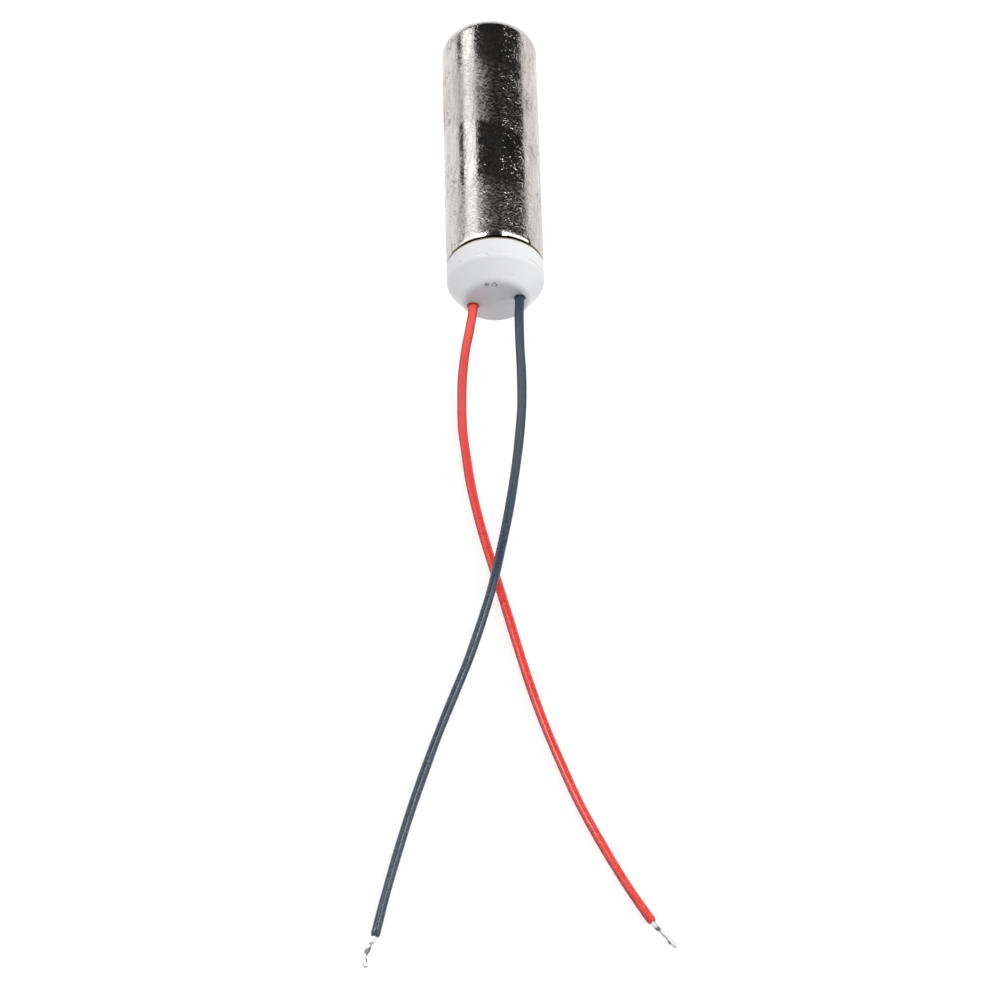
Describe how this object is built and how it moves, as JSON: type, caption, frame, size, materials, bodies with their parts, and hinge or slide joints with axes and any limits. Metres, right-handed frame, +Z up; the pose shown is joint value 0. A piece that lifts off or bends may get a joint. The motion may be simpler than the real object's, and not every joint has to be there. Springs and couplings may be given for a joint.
{
  "type": "sealed cylindrical vibration motor",
  "caption": "Sealed cylindrical vibration motor: nickel-plated can with a rounded end, white end cap, flying red and blue leads with bare ends, and an eccentric weight spinning inside.",
  "frame": {"origin": "on the surface that the motor lies on, under the middle of its body: the can and end cap without the leads", "axes": "+Y along the motor's axis towards the can's closed end, so the leads leave towards -Y; +Z up from the surface; +X to the blue lead's side"},
  "size_m": [0.0209, 0.0764, 0.007],
  "materials": {
    "nickel_plate": "polished",
    "white_plastic": "satin",
    "sealant": "satin",
    "potting": "satin",
    "insulating_film": "satin",
    "motor_steel": "satin",
    "brass": "satin",
    "sintered_bronze": "matte",
    "magnet_alloy": "satin",
    "dark_plastic": "satin",
    "tinned_brass": "satin",
    "brush_alloy": "satin",
    "solder": "satin",
    "shaft_steel": "polished",
    "enamelled_copper": "gloss",
    "hub_resin": "satin",
    "commutator_copper": "satin",
    "washer_nylon": "satin",
    "tungsten_alloy": "satin",
    "red_insulation": "satin",
    "blue_insulation": "satin",
    "tinned_copper": "polished"
  },
  "bodies": {
    "housing": {"outer_can": "nickel_plate", "end_cap": "white_plastic", "cap_sealant": "sealant", "lead_potting": "potting", "insulating_sleeve": "insulating_film", "motor_can": "motor_steel", "bearing_tube": "brass", "front_bearing": "sintered_bronze", "rear_bearing": "sintered_bronze", "magnet": "magnet_alloy", "brush_holder": "dark_plastic", "positive_terminal": "tinned_brass", "negative_terminal": "tinned_brass", "positive_brush": "brush_alloy", "negative_brush": "brush_alloy", "solder_joints": "solder", "red_jacket": "red_insulation", "red_conductor": "tinned_copper", "blue_jacket": "blue_insulation", "blue_conductor": "tinned_copper"},
    "rotor": {"shaft": "shaft_steel", "winding": "enamelled_copper", "commutator_hub": "hub_resin", "commutator_bars": "commutator_copper", "winding_taps": "solder", "front_washer": "washer_nylon", "rear_washer": "washer_nylon", "eccentric_weight": "tungsten_alloy"}
  },
  "joints": [
    {"name": "rotor_spin", "type": "hinge", "parent": "housing", "child": "rotor", "pos_m": [0, 0, 0.0035], "axis": [0, 1, 0], "continuous": true}
  ]
}
